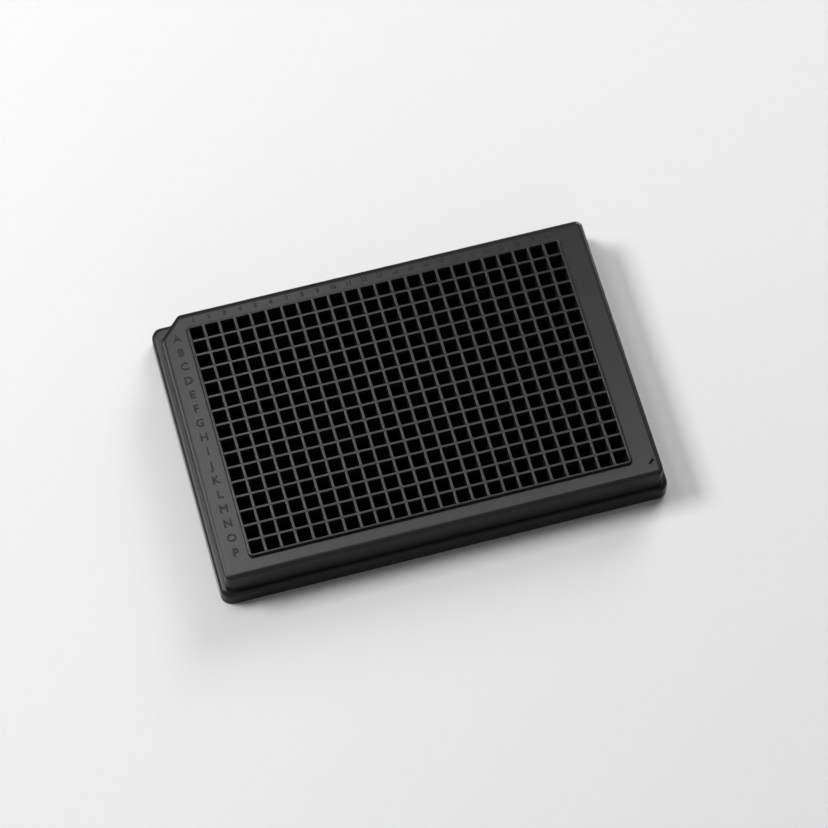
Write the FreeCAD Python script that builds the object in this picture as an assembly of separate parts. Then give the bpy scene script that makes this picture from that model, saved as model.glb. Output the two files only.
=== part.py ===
import FreeCAD, Part

import math
import os

from FreeCAD import Vector

# Microplate with a grid of square wells, moulded in one piece.
# Millimetres. The origin is the centre of the footprint on the surface
# that the plate stands on. +X runs along the columns, from column 1 to
# column 24, +Y towards row A, and +Z up out of the wells.

# Footprint and height of a standard plate
footprint_length = 127.76
footprint_width = 85.48
plate_height = 14.22

# Well grid
columns = 24
rows = 16
well_pitch = 4.5

# One well: square, narrowing evenly towards a flat floor
well_top_width = 3.76
well_floor_width = 2.70
well_depth = 11.43
well_floor_thickness = 1.0

# Well block: the raised land round the grid, and its sides below the deck
block_land = 0.6
block_foot_spread = 0.33
block_corner_radius = 1.1
block_wall_at_floor = 1.0

# Deck: the flat frame round the well block, just below the well tops
deck_drop = 1.0
deck_wall = 1.3
deck_step = 0.28
deck_edge_radius = 0.18

# Crowned border from the deck's step out to the shoulder: its slope
# steepens at the crown, which stands above a straight slope
border_width = 1.46
border_fall = 0.35
crown_inset = 0.9
crown_rise = 0.06
shoulder_radius = 0.4

# Outer wall of the upper body, which widens a little towards the ledge
wall_inset = 1.66
wall_draft = 0.2
wall_corner_radius = 1.9
skirt_wall = 1.15

# Notch across the corner of row A and column 1, on the upper body only,
# and the border's width along it as a share of its width elsewhere
notch_leg = 6.6
notch_border_share = 0.72

# Flange: the wider foot below the ledge
flange_height = 5.4
flange_draft = 0.12
flange_corner_radius = 3.18
flange_edge_radius = 0.5
ledge_wall = 1.2

# Orientation mark: a blind slot across the deck's corner of row P and
# column 24, measured from that corner of the deck
mark_length = 2.2
mark_width = 0.55
mark_depth = 0.8
mark_angle = 42.0
mark_from_side = 0.96
mark_from_front = 2.86

# Ribs under the deck, between the well block and the outer wall
rib_thickness = 0.8
rib_count_short_side = 3
rib_count_long_side = 5
rib_drop = 5.0

# Cutting tools run this far past the faces that they cut
overrun = 0.5


# Heights worked out from the sizes above
deck_z = plate_height - deck_drop
border_z = deck_z - deck_step
shoulder_z = border_z - border_fall
crown_share = (crown_inset - shoulder_radius) / (border_width - shoulder_radius)
crown_z = shoulder_z + border_fall * crown_share + crown_rise
ledge_z = flange_height
well_floor_z = plate_height - well_depth
block_floor_z = well_floor_z - well_floor_thickness
deck_underside_z = deck_z - deck_wall
ledge_underside_z = ledge_z - ledge_wall

# Half sizes of the well block, at the centres of its outer wells plus a
# margin at the top, at the deck and at the floor
grid_half_x = (columns - 1) * well_pitch / 2
grid_half_y = (rows - 1) * well_pitch / 2
margin_top = well_top_width / 2 + block_land
margin_deck = margin_top + block_foot_spread
margin_floor = well_floor_width / 2 + block_wall_at_floor


def rectangle_corners(half_x, half_y, radius):
    """Centres of a rectangle's rounded corners, with the angles that each spans."""
    x = half_x - radius
    y = half_y - radius
    return [(x, y, 0, 90), (-x, y, 90, 180), (-x, -y, 180, 270), (x, -y, 270, 360)]


def notched_corners(half_x, half_y, radius, leg):
    """The same, with a 45 degree notch across the corner of row A and column 1."""
    back_right, _, front_left, front_right = rectangle_corners(half_x, half_y, radius)
    blend = radius * math.tan(math.radians(22.5))
    notch_back = (-half_x + leg + blend, half_y - radius, 90, 135)
    notch_left = (-half_x + radius, half_y - leg - blend, 135, 180)
    return [back_right, notch_back, notch_left, front_left, front_right]


def outline(corners, radius, z):
    """Closed outline of arcs about the corner centres, joined by straight lines."""
    arcs = []
    for x, y, start, end in corners:
        points = []
        for degrees in (start, (start + end) / 2, end):
            angle = math.radians(degrees)
            points.append(Vector(x + radius * math.cos(angle), y + radius * math.sin(angle), z))
        arcs.append(Part.Arc(*points).toShape())

    edges = []
    for index, arc in enumerate(arcs):
        following = arcs[(index + 1) % len(arcs)]
        edges.append(arc)
        edges.append(Part.makeLine(arc.lastVertex().Point, following.firstVertex().Point))
    return Part.Wire(edges)


def foot_outline(inset, z):
    """Outline of the flange, set in from the footprint."""
    corners = rectangle_corners(footprint_length / 2, footprint_width / 2, flange_corner_radius)
    return outline(corners, flange_corner_radius - inset, z)


def body_outline(inset, z):
    """Outline of the notched upper body, set in from the top of its outer wall."""
    narrowing = (1 - notch_border_share) * max(inset - shoulder_radius, 0)
    corners = notched_corners(
        footprint_length / 2 - wall_inset, footprint_width / 2 - wall_inset,
        wall_corner_radius, notch_leg - narrowing * math.sqrt(2))
    return outline(corners, wall_corner_radius - inset, z)


def block_outline(margin, z):
    """Outline of the well block, at a margin from the outer wells' centres."""
    corners = rectangle_corners(
        grid_half_x + margin_top, grid_half_y + margin_top, block_corner_radius)
    return outline(corners, block_corner_radius + margin - margin_top, z)


def square_corners(width, z):
    """Corners of a square centred on the Z axis, anticlockwise."""
    half = width / 2
    return [Vector(-half, -half, z), Vector(half, -half, z), Vector(half, half, z), Vector(-half, half, z)]


def flat_face(points):
    """Flat face through points given in order."""
    return Part.Face(Part.makePolygon(points + points[:1]))


def square_frustum(low_width, low_z, high_width, high_z):
    """Solid with four flat sloping sides between two squares."""
    low = square_corners(low_width, low_z)
    high = square_corners(high_width, high_z)
    faces = [flat_face(low), flat_face(high)]
    for index in range(4):
        following = (index + 1) % 4
        faces.append(flat_face([low[index], low[following], high[following], high[index]]))
    return Part.Solid(Part.Shell(faces))


def drafted(*wires):
    """Solid with straight walls from each outline to the next."""
    steps = [Part.makeLoft([low, high], True, True) for low, high in zip(wires, wires[1:])]
    return steps[0].fuse(steps[1:]) if len(steps) > 1 else steps[0]


def rounded_rim(solid, z, radius):
    """The solid with a round on the edges of its flat face at height z."""
    rim = [edge for edge in solid.Edges
           if all(abs(vertex.Z - z) < 1e-6 for vertex in edge.Vertexes)]
    return solid.makeFillet(radius, rim)


def make_flange():
    """Solid foot up to the ledge, with a rounded top edge."""
    foot = drafted(foot_outline(0, 0), foot_outline(flange_draft, ledge_z))
    return rounded_rim(foot, ledge_z, flange_edge_radius)


def make_upper_body():
    """Outer wall with its rounded shoulder, the sloping border and the deck."""
    wall = drafted(
        body_outline(-wall_draft, ledge_z - ledge_wall / 2),
        body_outline(0, shoulder_z))
    wall = rounded_rim(wall, shoulder_z, shoulder_radius)
    border = drafted(
        body_outline(shoulder_radius, shoulder_z - shoulder_radius / 2),
        body_outline(shoulder_radius, shoulder_z),
        body_outline(crown_inset, crown_z),
        body_outline(border_width, border_z))
    deck = drafted(
        body_outline(border_width, border_z - deck_step),
        body_outline(border_width, deck_z))
    return wall.fuse([border, rounded_rim(deck, deck_z, deck_edge_radius)])


def make_cavity():
    """Hollow under the deck, with its step under the ledge."""
    foot = drafted(
        foot_outline(skirt_wall, -overrun),
        foot_outline(skirt_wall, ledge_underside_z))
    upper = drafted(
        body_outline(skirt_wall, ledge_underside_z - overrun),
        body_outline(skirt_wall, deck_underside_z))
    return foot.fuse(upper)


def make_well_block():
    """Block that holds the wells, from under their floors to their lips."""
    core = drafted(
        block_outline(margin_floor, block_floor_z),
        block_outline(margin_deck, deck_z - deck_wall / 2))
    raised = drafted(
        block_outline(margin_deck, deck_z - deck_wall / 2),
        block_outline(margin_deck, deck_z),
        block_outline(margin_top, plate_height))
    return core.fuse(raised)


def spread(count, length):
    """Places of evenly spaced ribs along a side, centred on it."""
    spacing = length / (count + 1)
    return [(index - (count - 1) / 2) * spacing for index in range(count)]


def make_ribs():
    """Ribs that tie the outer wall and the deck to the well block."""
    half_x = footprint_length / 2 - wall_inset - skirt_wall / 2
    half_y = footprint_width / 2 - wall_inset - skirt_wall / 2
    low_z = deck_underside_z - rib_drop
    height = deck_z - deck_wall / 2 - low_z
    inner_x = grid_half_x + margin_floor / 2
    inner_y = grid_half_y + margin_floor / 2
    ribs = []
    for side in (-1, 1):
        for y in spread(rib_count_short_side, 2 * half_y):
            rib = Part.makeBox(half_x - inner_x, rib_thickness, height)
            start = inner_x if side > 0 else -half_x
            ribs.append(rib.translated(Vector(start, y - rib_thickness / 2, low_z)))
        for x in spread(rib_count_long_side, 2 * half_x):
            rib = Part.makeBox(rib_thickness, half_y - inner_y, height)
            start = inner_y if side > 0 else -half_y
            ribs.append(rib.translated(Vector(x - rib_thickness / 2, start, low_z)))
    return ribs


def make_wells():
    """One tapered square tool for each well of the grid."""
    taper = (well_top_width - well_floor_width) / well_depth
    well = square_frustum(
        well_floor_width, well_floor_z,
        well_top_width + taper * overrun, plate_height + overrun)
    wells = []
    for column in range(columns):
        for row in range(rows):
            x = -grid_half_x + column * well_pitch
            y = grid_half_y - row * well_pitch
            wells.append(well.translated(Vector(x, y, 0)))
    return wells


def make_orientation_mark():
    """Tool for the blind round-ended slot in the deck's corner."""
    centre = Vector(
        footprint_length / 2 - wall_inset - border_width - mark_from_side,
        -(footprint_width / 2 - wall_inset - border_width - mark_from_front), 0)
    straight = mark_length - mark_width
    low_z = deck_z - mark_depth
    height = mark_depth + overrun
    bar = Part.makeBox(straight, mark_width, height, Vector(-straight / 2, -mark_width / 2, low_z))
    ends = [Part.makeCylinder(mark_width / 2, height, Vector(side * straight / 2, 0, low_z))
            for side in (-1, 1)]
    slot = bar.fuse(ends)
    slot.rotate(Vector(0, 0, 0), Vector(0, 0, 1), mark_angle)
    slot.translate(centre)
    return slot


def make_plate():
    """The whole moulded plate as one solid."""
    shell = make_flange().fuse(make_upper_body()).cut(make_cavity())
    body = shell.fuse([make_well_block()] + make_ribs()).removeSplitter()
    return body.cut(make_wells() + [make_orientation_mark()])


def main():
    os.makedirs("parts", exist_ok=True)
    plate = make_plate()
    if plate.ShapeType == "Compound" and len(plate.Solids) == 1:
        plate = plate.Solids[0]
    plate.exportStep("parts/plate.step")
    print("plate: valid", plate.isValid(), "solids", len(plate.Solids),
          "volume cm3", round(plate.Volume / 1000, 3))


main()
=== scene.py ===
import math

import bmesh
import bpy
from mathutils import Matrix, Vector, geometry


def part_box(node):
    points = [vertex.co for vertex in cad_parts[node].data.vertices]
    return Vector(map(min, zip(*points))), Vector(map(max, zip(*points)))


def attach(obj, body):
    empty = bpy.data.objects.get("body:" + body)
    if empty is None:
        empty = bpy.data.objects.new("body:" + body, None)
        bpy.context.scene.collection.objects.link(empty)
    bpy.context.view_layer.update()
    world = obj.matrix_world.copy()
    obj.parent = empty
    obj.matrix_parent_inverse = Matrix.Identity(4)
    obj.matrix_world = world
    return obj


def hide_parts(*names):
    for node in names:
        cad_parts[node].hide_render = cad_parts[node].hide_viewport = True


# Looks of the microplate: one black moulding, its raised lettering, a pale
# floor, soft lamps and the camera. Sizes of the plate are in millimetres, and
# are turned into Blender's metres when its meshes are finished. Those of the
# studio, the lamps and the camera are in metres.

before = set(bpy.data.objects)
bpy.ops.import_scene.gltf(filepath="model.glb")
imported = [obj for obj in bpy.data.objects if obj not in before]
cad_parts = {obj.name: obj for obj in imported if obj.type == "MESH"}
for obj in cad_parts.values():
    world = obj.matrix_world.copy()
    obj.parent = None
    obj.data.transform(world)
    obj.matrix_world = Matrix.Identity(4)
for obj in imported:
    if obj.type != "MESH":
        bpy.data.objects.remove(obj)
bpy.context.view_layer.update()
plate_low, plate_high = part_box("plate")

# One millimetre in metres
MILLIMETRE = 0.001

# Footprint and height, taken from the solid
footprint_length = (plate_high[0] - plate_low[0]) / MILLIMETRE
footprint_width = (plate_high[1] - plate_low[1]) / MILLIMETRE
plate_height = (plate_high[2] - plate_low[2]) / MILLIMETRE

# Wells, whose corner radius is a share of half their width
columns = 24
rows = 16
well_pitch = 4.5
well_top_width = 3.76
well_floor_width = 2.70
well_depth = 11.43
well_corner_share = 0.18
well_lip_radius = 0.12
well_floor_radius = 0.3
well_floor_thickness = 1.0

# Raised well block
block_land = 0.6
block_foot_spread = 0.33
block_corner_radius = 1.1
block_wall_at_floor = 1.0
block_lip_radius = 0.28
block_foot_radius = 0.08
block_floor_radius = 0.3

# Deck, and the border that rolls off it down to the shoulder
deck_drop = 1.0
deck_wall = 1.3
border_width = 1.46
roll_inset = 0.8
roll_radius = 4.4
roll_slope = 0.32
shoulder_radius = 0.4

# Flat strip of the deck beside each rounded edge, which keeps its shading even
flat_band = 0.15

# Outer wall of the upper body, with the notch across one corner and the
# border's width along it as a share of its width elsewhere
wall_inset = 1.66
wall_draft = 0.2
wall_corner_radius = 1.9
skirt_wall = 1.15
notch_leg = 6.6
notch_border_share = 0.72

# Flange, with the ledge that slopes up towards the wall
flange_height = 5.4
flange_draft = 0.12
flange_corner_radius = 3.18
flange_edge_radius = 1.1
ledge_wall = 1.2
ledge_width = 1.4
ledge_rise = 0.2
ledge_bend_radius = 0.05
foot_edge_radius = 0.12
inner_edge_radius = 0.2

# Orientation mark, a blind slot in the deck's corner of row P and column 24
mark_length = 1.95
mark_width = 0.55
mark_depth = 0.8
mark_angle = 42.0
mark_lip_radius = 0.09
mark_floor_radius = 0.2
mark_from_side = 1.16
mark_from_front = 2.68

# Ribs under the deck
rib_thickness = 0.8
rib_count_short_side = 3
rib_count_long_side = 5
rib_drop = 5.0

# Lettering on the deck; its relief also widens each stroke
letter_height = 2.4
letter_from_block = 3.0
number_height = 1.35
number_from_block = 1.93
lettering_relief = 0.1

# Height of a capital letter in the built-in font, as a share of its size
capital_share = 0.72

# Points of the lettering that lie closer than this are made one
weld_distance = 0.001

# Segments in a quarter turn of a large corner, a well's corner and an edge,
# and in the curves and the round edges of the lettering
corner_steps = 8
well_steps = 4
edge_steps = 3
stroke_steps = 3
relief_steps = 2

# Edges that turn by more degrees than this are shaded as sharp
sharp_edge_angle = 35

# Roughness and specular level of what faces up, of the rounds, of the walls
# and wells, and of the lettering
top_finish = (0.2, 0.5)
round_finish = (0.2, 0.2)
side_finish = (0.14, 0.05)
lettering_finish = (0.6, 0.4)

# Steepest face, in degrees from level, with the top's finish and the rounds'
top_tilt = 18
round_tilt = 55

# Black plastic: the two tones of its mottling, how far its roughness varies,
# and its grain, with the depth in metres
plastic_ior = 1.45
dark_tone = (0.018, 0.018, 0.019, 1)
light_tone = (0.022, 0.022, 0.023, 1)
mottle_scale = 260.0
mottle_detail = 4.0
gloss_variation = 0.1
grain_scale = 6000.0
grain_detail = 2.0
grain_strength = 0.15
grain_depth = 0.00002

# Pale paper of the floor and backdrop, and how bright the backdrop shows
paper_colour = (0.95, 0.95, 0.95, 1)
paper_roughness = 0.6
paper_specular_level = 0.2
backdrop_glow = 0.8
white = (1, 1, 1, 1)

# Studio: the flat floor, the sweep at its edge and the wall above
studio_floor_radius = 2.5
studio_sweep_radius = 0.5
studio_wall_height = 0.6
studio_sides = 64

# Panels that point straight down: left, right, near and far edge, and watts
panel_height = 1.25
panels = {
    "key_left": (-0.18, -0.02, 0.34, 0.50, 0.95),
    "key_middle": (-0.02, 0.16, 0.50, 0.70, 0.49),
    "key_right_near": (0.16, 0.45, 0.34, 0.50, 0.42),
    "key_right_far": (0.16, 0.45, 0.50, 0.70, 0.15),
    "left_panel": (-0.60, -0.36, 0.2, 0.8, 2.05),
    "far_left_panel": (-1.5, -0.85, 0.2, 0.85, 25),
}

# Square lamps that point at the plate: place and watts
square_lamp_width = 0.8
square_lamps = {
    "back_right_lamp": ((0.9, 1.1, 0.8), 12.5),
    "front_lamp": ((0, -1.3, 0.7), 1.4),
}

# Even light from all round
surround_strength = 0.05

# Camera: the sensor's width and the lens in millimetres, the place, and the
# directions to the picture's right and into the picture
camera_sensor_width = 36.0
camera_lens = 158.82
camera_place = (-0.12263, -0.42936, 0.92408)
camera_right = (0.96450, -0.26398, 0.00750)
camera_ahead = (0.12138, 0.41844, -0.90010)
camera_clip_start = 0.01
camera_clip_end = 20.0

# Heights and half sizes worked out from the sizes above
deck_z = plate_height - deck_drop
shoulder_z = deck_z - roll_inset * roll_slope
ledge_z = flange_height
ledge_underside_z = ledge_z - ledge_wall
deck_underside_z = deck_z - deck_wall
well_floor_z = plate_height - well_depth
block_floor_z = well_floor_z - well_floor_thickness
grid_half_x = (columns - 1) * well_pitch / 2
grid_half_y = (rows - 1) * well_pitch / 2
margin_top = well_top_width / 2 + block_land
margin_deck = margin_top + block_foot_spread
margin_floor = well_floor_width / 2 + block_wall_at_floor


def rectangle_corners(half_x, half_y, radius):
    """Centres of a rectangle's rounded corners, with the angles that each spans."""
    x = half_x - radius
    y = half_y - radius
    return [(x, y, 0, 90), (-x, y, 90, 180), (-x, -y, 180, 270), (x, -y, 270, 360)]


def notched_corners(half_x, half_y, radius, leg):
    """The same, with a 45 degree notch across the corner of row A and column 1."""
    back_right, _, front_left, front_right = rectangle_corners(half_x, half_y, radius)
    blend = radius * math.tan(math.radians(22.5))
    notch_back = (-half_x + leg + blend, half_y - radius, 90, 135)
    notch_left = (-half_x + radius, half_y - leg - blend, 135, 180)
    return [back_right, notch_back, notch_left, front_left, front_right]


def outline(corners, radius, z, steps=corner_steps):
    """Points of a closed outline with an arc about each corner's centre."""
    points = []
    for x, y, start, end in corners:
        count = round(steps * (end - start) / 90)
        for step in range(count + 1):
            angle = math.radians(start + (end - start) * step / count)
            points.append(Vector((x + radius * math.cos(angle), y + radius * math.sin(angle), z)))
    return points


def foot_outline(inset, z):
    """Outline of the flange, set in from the footprint."""
    corners = rectangle_corners(footprint_length / 2, footprint_width / 2, flange_corner_radius)
    return outline(corners, flange_corner_radius - inset, z)


def body_outline(inset, z):
    """Outline of the notched upper body, set in from the top of its outer wall."""
    narrowing = (1 - notch_border_share) * max(inset - shoulder_radius, 0)
    corners = notched_corners(
        footprint_length / 2 - wall_inset, footprint_width / 2 - wall_inset,
        wall_corner_radius, notch_leg - narrowing * math.sqrt(2))
    return outline(corners, wall_corner_radius - inset, z)


def block_outline(margin, z):
    """Outline of the well block, at a margin from the outer wells' centres."""
    corners = rectangle_corners(
        grid_half_x + margin_top, grid_half_y + margin_top, block_corner_radius)
    return outline(corners, block_corner_radius + margin - margin_top, z)


def circle(radius, z):
    """Points of the studio's round outline."""
    angles = [math.radians(360) * step / studio_sides for step in range(studio_sides)]
    return [(radius * math.cos(angle), radius * math.sin(angle), z) for angle in angles]


def rounded_profile(corners):
    """Profile through (distance, height, radius) corners, each rounded by its radius."""
    points = [Vector(corners[0][:2])]
    for before, (distance, z, radius), after in zip(corners, corners[1:], corners[2:]):
        place = Vector((distance, z))
        back = (Vector(before[:2]) - place).normalized()
        ahead = (Vector(after[:2]) - place).normalized()
        half = back.angle(ahead) / 2
        centre = place + (back + ahead).normalized() * radius / math.sin(half)
        start = place + back * radius / math.tan(half) - centre
        end = place + ahead * radius / math.tan(half) - centre
        steps = edge_steps + round(radius)
        for step in range(steps + 1):
            direction = start.slerp(end, step / steps).normalized()
            points.append(centre + direction * radius)
    points.append(Vector(corners[-1][:2]))
    return points


def add_object(name, mesh):
    """Object in the scene made from a bmesh, which is used up."""
    data = bpy.data.meshes.new(name)
    mesh.to_mesh(data)
    mesh.free()
    made = bpy.data.objects.new(name, data)
    bpy.context.scene.collection.objects.link(made)
    return made


class RingMesh:
    """Mesh under construction, made of closed rings of vertices."""

    def __init__(self):
        self.mesh = bmesh.new()

    def rings(self, outline_at, profile):
        """One ring of an outline for each point of a profile; returns the first and last."""
        made = [[self.mesh.verts.new(point) for point in outline_at(distance, z)]
                for distance, z in profile]
        for low, high in zip(made, made[1:]):
            self.join(low, high)
        return made[0], made[-1]

    def join(self, low, high):
        """A band of four-sided faces between two rings."""
        for index in range(len(low)):
            following = (index + 1) % len(low)
            self.mesh.faces.new((low[index], low[following], high[following], high[index]))

    def fill(self, outer, holes=()):
        """Flat triangles inside a ring and outside the rings in it."""
        loops = [outer] + list(holes)
        corners = [vertex for loop in loops for vertex in loop]
        flat = [[vertex.co.to_2d().to_3d() for vertex in loop] for loop in loops]
        for triangle in geometry.tessellate_polygon(flat):
            self.mesh.faces.new([corners[index] for index in triangle])

    def box(self, low, high):
        """A closed box between two corners."""
        place = Matrix.Translation((low + high) / 2) @ Matrix.Diagonal((*(high - low), 1))
        bmesh.ops.create_cube(self.mesh, size=1, matrix=place)

    def word(self, text, x, y, height):
        """A raised word centred on a place on the deck."""
        curve = bpy.data.curves.new("word", "FONT")
        curve.body = text
        curve.align_x = "CENTER"
        curve.align_y = "CENTER"
        curve.resolution_u = stroke_steps
        curve.size = height / capital_share
        curve.bevel_depth = lettering_relief
        curve.bevel_resolution = relief_steps
        holder = bpy.data.objects.new("word", curve)
        data = holder.to_mesh()
        data.transform(Matrix.Translation((x, y, deck_z)))
        self.mesh.from_mesh(data)
        holder.to_mesh_clear()
        bpy.data.objects.remove(holder)
        bpy.data.curves.remove(curve)

    def smooth(self):
        """Smooth shading on every face."""
        for face in self.mesh.faces:
            face.smooth = True

    def finish(self, name):
        """The finished object, in metres, smooth but for its sharp edges."""
        bmesh.ops.recalc_face_normals(self.mesh, faces=self.mesh.faces)
        self.smooth()
        for edge in self.mesh.edges:
            edge.smooth = edge.calc_face_angle(0) < math.radians(sharp_edge_angle)
        bmesh.ops.scale(self.mesh, vec=(MILLIMETRE,) * 3, verts=self.mesh.verts)
        made = add_object(name, self.mesh)
        weighted = made.modifiers.new("even_normals", "WEIGHTED_NORMAL")
        weighted.keep_sharp = True
        return made


def add_wells(moulding):
    """All wells; returns the ring of each well's lip."""
    half_top = well_top_width / 2
    half_floor = well_floor_width / 2
    profile = rounded_profile([
        (half_top + block_land, plate_height, 0),
        (half_top, plate_height, well_lip_radius),
        (half_floor, well_floor_z, well_floor_radius),
        (0, well_floor_z, 0)])[1:-1]
    unit = outline(
        rectangle_corners(1, 1, well_corner_share), well_corner_share, 0, well_steps)

    lips = []
    for column in range(columns):
        for row in range(rows):
            centre = Vector((column * well_pitch - grid_half_x, grid_half_y - row * well_pitch, 0))
            lip, floor = moulding.rings(
                lambda half, z: [centre + point * half + Vector((0, 0, z)) for point in unit],
                profile)
            moulding.fill(floor)
            lips.append(lip)
    return lips


def add_mark(moulding):
    """Round-ended slot in the deck's corner; returns its ring on the deck."""
    centre = Vector((
        footprint_length / 2 - wall_inset - border_width - mark_from_side,
        -(footprint_width / 2 - wall_inset - border_width - mark_from_front), 0))
    turn = Matrix.Rotation(math.radians(mark_angle), 4, "Z")
    straight = (mark_length - mark_width) / 2
    ends = [(straight, 0, -90, 90), (-straight, 0, 90, 270)]

    def slot(radius, z):
        """Outline of the slot, in its place on the deck."""
        return [centre + turn @ point for point in outline(ends, radius, z, well_steps)]

    profile = rounded_profile([
        (mark_width, deck_z, 0),
        (mark_width / 2, deck_z, mark_lip_radius),
        (mark_width / 2, deck_z - mark_depth, mark_floor_radius),
        (0, deck_z - mark_depth, 0)])[1:-1]
    rim, floor = moulding.rings(slot, profile)
    moulding.fill(floor)
    return rim


def spread(count, length):
    """Places of evenly spaced ribs along a side, centred on it."""
    spacing = length / (count + 1)
    return [(index - (count - 1) / 2) * spacing for index in range(count)]


def add_ribs(moulding):
    """Ribs that tie the outer wall and the deck to the well block."""
    half_x = footprint_length / 2 - wall_inset - skirt_wall / 2
    half_y = footprint_width / 2 - wall_inset - skirt_wall / 2
    inner_x = grid_half_x + margin_floor
    inner_y = grid_half_y + margin_floor
    low_z = deck_underside_z - rib_drop
    high_z = deck_z - deck_wall / 2
    half = rib_thickness / 2
    for side in (-1, 1):
        for place in spread(rib_count_short_side, 2 * half_y):
            start, end = sorted((side * inner_x, side * half_x))
            moulding.box(
                Vector((start, place - half, low_z)), Vector((end, place + half, high_z)))
        for place in spread(rib_count_long_side, 2 * half_x):
            start, end = sorted((side * inner_y, side * half_y))
            moulding.box(
                Vector((place - half, start, low_z)), Vector((place + half, end, high_z)))


def make_plate():
    """The whole moulding: wells, land, deck, border, walls, flange and underside."""
    moulding = RingMesh()
    block_slope = (margin_deck - margin_floor) / (deck_z - deck_wall / 2 - block_floor_z)
    margin_underside = margin_deck - block_slope * (deck_wall / 2)

    lips = add_wells(moulding)
    block_side = rounded_profile([
        (0, plate_height, 0),
        (margin_top, plate_height, block_lip_radius),
        (margin_deck, deck_z, block_foot_radius),
        (margin_deck + deck_drop, deck_z, 0)])[1:-1]
    block_side.append(block_side[-1] + Vector((flat_band, 0)))
    rim, block_foot = moulding.rings(block_outline, block_side)
    moulding.fill(rim, lips)

    body_side = rounded_profile([
        (2 * border_width, deck_z, 0),
        (roll_inset, deck_z, roll_radius),
        (0, shoulder_z, shoulder_radius),
        (-wall_draft, ledge_z + ledge_rise, 0)])[1:]
    body_side.insert(0, body_side[0] + Vector((flat_band, 0)))
    deck_edge, wall_end = moulding.rings(body_outline, body_side)
    moulding.fill(deck_edge, [block_foot, add_mark(moulding)])

    ledge_edge, foot_inside = moulding.rings(foot_outline, rounded_profile([
        (2 * wall_inset, ledge_z + ledge_rise, 0),
        (ledge_width, ledge_z + ledge_rise, ledge_bend_radius),
        (flange_draft, ledge_z, flange_edge_radius),
        (0, 0, foot_edge_radius),
        (skirt_wall, 0, foot_edge_radius),
        (skirt_wall, ledge_underside_z, inner_edge_radius),
        (skirt_wall + wall_inset, ledge_underside_z, 0)])[1:-1])
    moulding.fill(ledge_edge, [wall_end])

    cavity_edge, deck_corner = moulding.rings(body_outline, rounded_profile([
        (0, ledge_underside_z, 0),
        (skirt_wall, ledge_underside_z, inner_edge_radius),
        (skirt_wall, deck_underside_z, inner_edge_radius),
        (skirt_wall + deck_drop, deck_underside_z, 0)])[1:-1])
    moulding.fill(foot_inside, [cavity_edge])

    block_top, block_bottom = moulding.rings(block_outline, rounded_profile([
        (margin_underside + deck_drop, deck_underside_z, 0),
        (margin_underside, deck_underside_z, inner_edge_radius),
        (margin_floor, block_floor_z, block_floor_radius),
        (0, block_floor_z, 0)])[1:-1])
    moulding.fill(deck_corner, [block_top])
    moulding.fill(block_bottom)

    add_ribs(moulding)
    return moulding.finish("plate_moulding")


def make_lettering(name, words, height):
    """One piece of raised lettering."""
    lettering = RingMesh()
    for text, x, y in words:
        lettering.word(text, x, y, height)
    bmesh.ops.remove_doubles(lettering.mesh, verts=lettering.mesh.verts, dist=weld_distance)
    return lettering.finish(name)


def make_row_letters():
    """Letters A to P beside the rows, on the deck by column 1."""
    x = -(grid_half_x + margin_deck + letter_from_block)
    words = [(chr(ord("A") + row), x, grid_half_y - row * well_pitch) for row in range(rows)]
    return make_lettering("row_letters", words, letter_height)


def make_column_numbers():
    """Numbers 1 to 24 behind the columns, on the deck by row A."""
    y = grid_half_y + margin_deck + number_from_block
    words = [(str(column + 1), column * well_pitch - grid_half_x, y) for column in range(columns)]
    return make_lettering("column_numbers", words, number_height)


def set_values(made, values):
    """Sets a node's inputs and settings by name."""
    for name, value in values.items():
        if name in made.inputs:
            made.inputs[name].default_value = value
        else:
            setattr(made, name, value)


def add_node(tree, kind, values=None):
    """A new shader node, with inputs and settings set by name."""
    made = tree.nodes.new(kind)
    set_values(made, values or {})
    return made


def new_material(name, values):
    """A new material and its shader, whose inputs are set by name."""
    material = bpy.data.materials.new(name)
    material.use_nodes = True
    shader = material.node_tree.nodes["Principled BSDF"]
    set_values(shader, values)
    return material, shader


def make_black_plastic(name, finish):
    """Black moulded polystyrene with a fine grain, faint mottling and an uneven gloss."""
    roughness, specular_level = finish
    material, shader = new_material(
        name, {"IOR": plastic_ior, "Specular IOR Level": specular_level})
    tree = material.node_tree
    place = add_node(tree, "ShaderNodeTexCoord")

    mottle = add_node(
        tree, "ShaderNodeTexNoise", {"Scale": mottle_scale, "Detail": mottle_detail})
    tree.links.new(place.outputs["Object"], mottle.inputs["Vector"])
    tint = add_node(tree, "ShaderNodeValToRGB")
    tint.color_ramp.elements[0].color = dark_tone
    tint.color_ramp.elements[1].color = light_tone
    tree.links.new(mottle.outputs["Fac"], tint.inputs["Fac"])
    tree.links.new(tint.outputs["Color"], shader.inputs["Base Color"])

    gloss = add_node(tree, "ShaderNodeMapRange", {
        "To Min": (1 - gloss_variation) * roughness,
        "To Max": (1 + gloss_variation) * roughness})
    tree.links.new(mottle.outputs["Fac"], gloss.inputs["Value"])
    tree.links.new(gloss.outputs["Result"], shader.inputs["Roughness"])

    grain = add_node(tree, "ShaderNodeTexNoise", {"Scale": grain_scale, "Detail": grain_detail})
    tree.links.new(place.outputs["Object"], grain.inputs["Vector"])
    bump = add_node(
        tree, "ShaderNodeBump", {"Strength": grain_strength, "Distance": grain_depth})
    tree.links.new(grain.outputs["Fac"], bump.inputs["Height"])
    tree.links.new(bump.outputs["Normal"], shader.inputs["Normal"])
    return material


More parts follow.
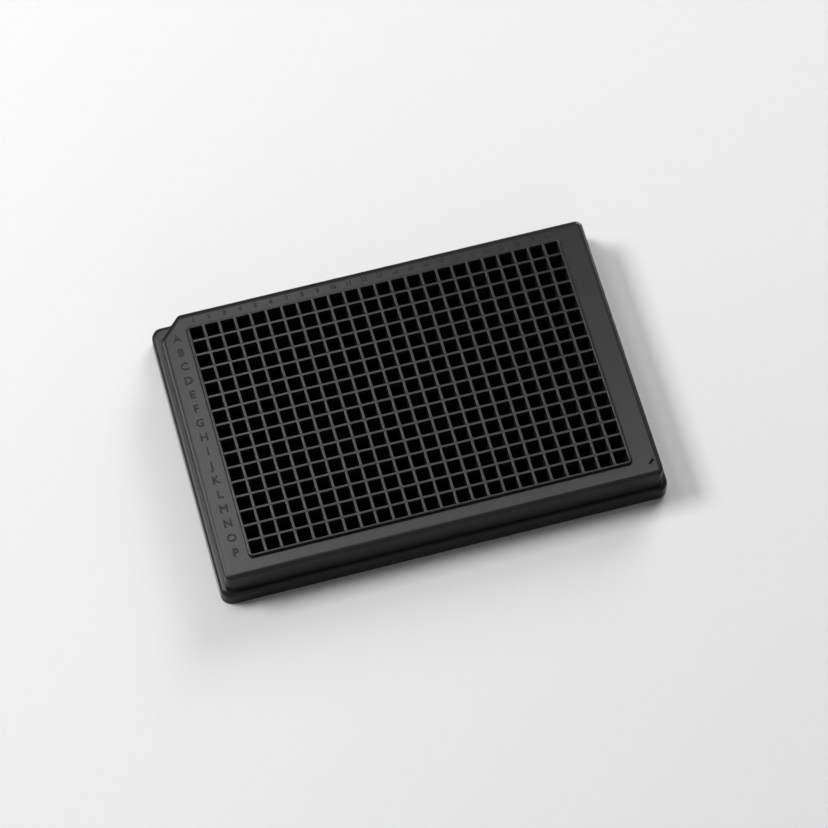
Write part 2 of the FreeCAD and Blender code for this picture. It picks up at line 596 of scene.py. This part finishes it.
def dress_plate(plate):
    """One finish for what faces up, one for the rounds, and one for walls and underside."""
    for name, finish in (
            ("polished_polystyrene", top_finish),
            ("rounded_polystyrene", round_finish),
            ("satin_polystyrene", side_finish)):
        plate.data.materials.append(make_black_plastic(name, finish))
    limits = [math.cos(math.radians(tilt)) for tilt in (top_tilt, round_tilt)]
    for face in plate.data.polygons:
        face.material_index = sum(face.normal.z < limit for limit in limits)


def make_pale_paper():
    """Pale matt paper, with a backdrop that shows pale to the camera and in reflections."""
    material, shader = new_material("pale_paper", {
        "Base Color": paper_colour,
        "Roughness": paper_roughness,
        "Specular IOR Level": paper_specular_level,
        "Emission Color": white})
    tree = material.node_tree

    place = add_node(tree, "ShaderNodeTexCoord")
    parts = add_node(tree, "ShaderNodeSeparateXYZ")
    tree.links.new(place.outputs["Object"], parts.inputs["Vector"])
    height = add_node(
        tree, "ShaderNodeMapRange", {"From Max": studio_sweep_radius, "To Max": backdrop_glow})
    tree.links.new(parts.outputs["Z"], height.inputs["Value"])

    path = add_node(tree, "ShaderNodeLightPath")
    seen = path.outputs["Is Camera Ray"]
    for kind in ("Is Glossy Ray", "Is Transmission Ray"):
        either = add_node(tree, "ShaderNodeMath", {"operation": "MAXIMUM"})
        tree.links.new(seen, either.inputs[0])
        tree.links.new(path.outputs[kind], either.inputs[1])
        seen = either.outputs["Value"]
    glow = add_node(tree, "ShaderNodeMath", {"operation": "MULTIPLY"})
    tree.links.new(seen, glow.inputs[0])
    tree.links.new(height.outputs["Result"], glow.inputs[1])
    tree.links.new(glow.outputs["Value"], shader.inputs["Emission Strength"])
    return material


def make_studio():
    """Plain pale floor that curves up into a low pale backdrop all round."""
    profile = [Vector((studio_floor_radius, 0))]
    for step in range(1, corner_steps + 1):
        angle = math.radians(90) * step / corner_steps
        bend = Vector((math.sin(angle), 1 - math.cos(angle)))
        profile.append(profile[0] + studio_sweep_radius * bend)
    profile.append(profile[-1] + Vector((0, studio_wall_height)))

    paper = RingMesh()
    _, floor_edge = paper.rings(circle, profile[::-1])
    paper.mesh.faces.new(floor_edge)
    paper.smooth()
    studio = add_object("studio", paper.mesh)
    studio.data.materials.append(make_pale_paper())


def make_lamp(name, place, aim, width, depth, power):
    """A soft rectangular lamp that points at a spot."""
    data = bpy.data.lights.new(name, "AREA")
    data.shape = "RECTANGLE"
    data.size = width
    data.size_y = depth
    data.energy = power
    lamp = bpy.data.objects.new(name, data)
    lamp.location = place
    lamp.rotation_euler = (Vector(aim) - Vector(place)).to_track_quat("-Z", "Y").to_euler()
    lamp.visible_camera = False
    bpy.context.scene.collection.objects.link(lamp)


def make_lamps():
    """Soft panels overhead and at the left, square lamps behind and in front, and the surround."""
    for name, (left, right, near, far, power) in panels.items():
        x = (left + right) / 2
        y = (near + far) / 2
        make_lamp(name, (x, y, panel_height), (x, y, 0), right - left, far - near, power)
    for name, (place, power) in square_lamps.items():
        make_lamp(name, place, (0, 0, 0), square_lamp_width, square_lamp_width, power)

    world = bpy.data.worlds.new("surround")
    bpy.context.scene.world = world
    world.use_nodes = True
    set_values(
        world.node_tree.nodes["Background"], {"Color": white, "Strength": surround_strength})


def make_camera():
    """The camera where the photograph was taken from."""
    data = bpy.data.cameras.new("camera")
    data.sensor_width = camera_sensor_width
    data.lens = camera_lens
    data.clip_start = camera_clip_start
    data.clip_end = camera_clip_end
    camera = bpy.data.objects.new("camera", data)
    right = Vector(camera_right)
    ahead = Vector(camera_ahead)
    turn = Matrix((right, right.cross(ahead), -ahead)).transposed()
    camera.matrix_world = Matrix.Translation(camera_place) @ turn.to_4x4()
    bpy.context.scene.collection.objects.link(camera)
    bpy.context.scene.camera = camera


def main():
    """Makes and dresses the three pieces, and sets up the studio round them."""
    plate = make_plate()
    lettering = [make_row_letters(), make_column_numbers()]
    dress_plate(plate)
    matt_plastic = make_black_plastic("matt_polystyrene", lettering_finish)
    for piece in lettering:
        piece.data.materials.append(matt_plastic)
    for piece in [plate] + lettering:
        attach(piece, "root")
    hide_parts("plate")
    make_studio()
    make_lamps()
    make_camera()
    bpy.context.scene.view_settings.view_transform = "Standard"


main()
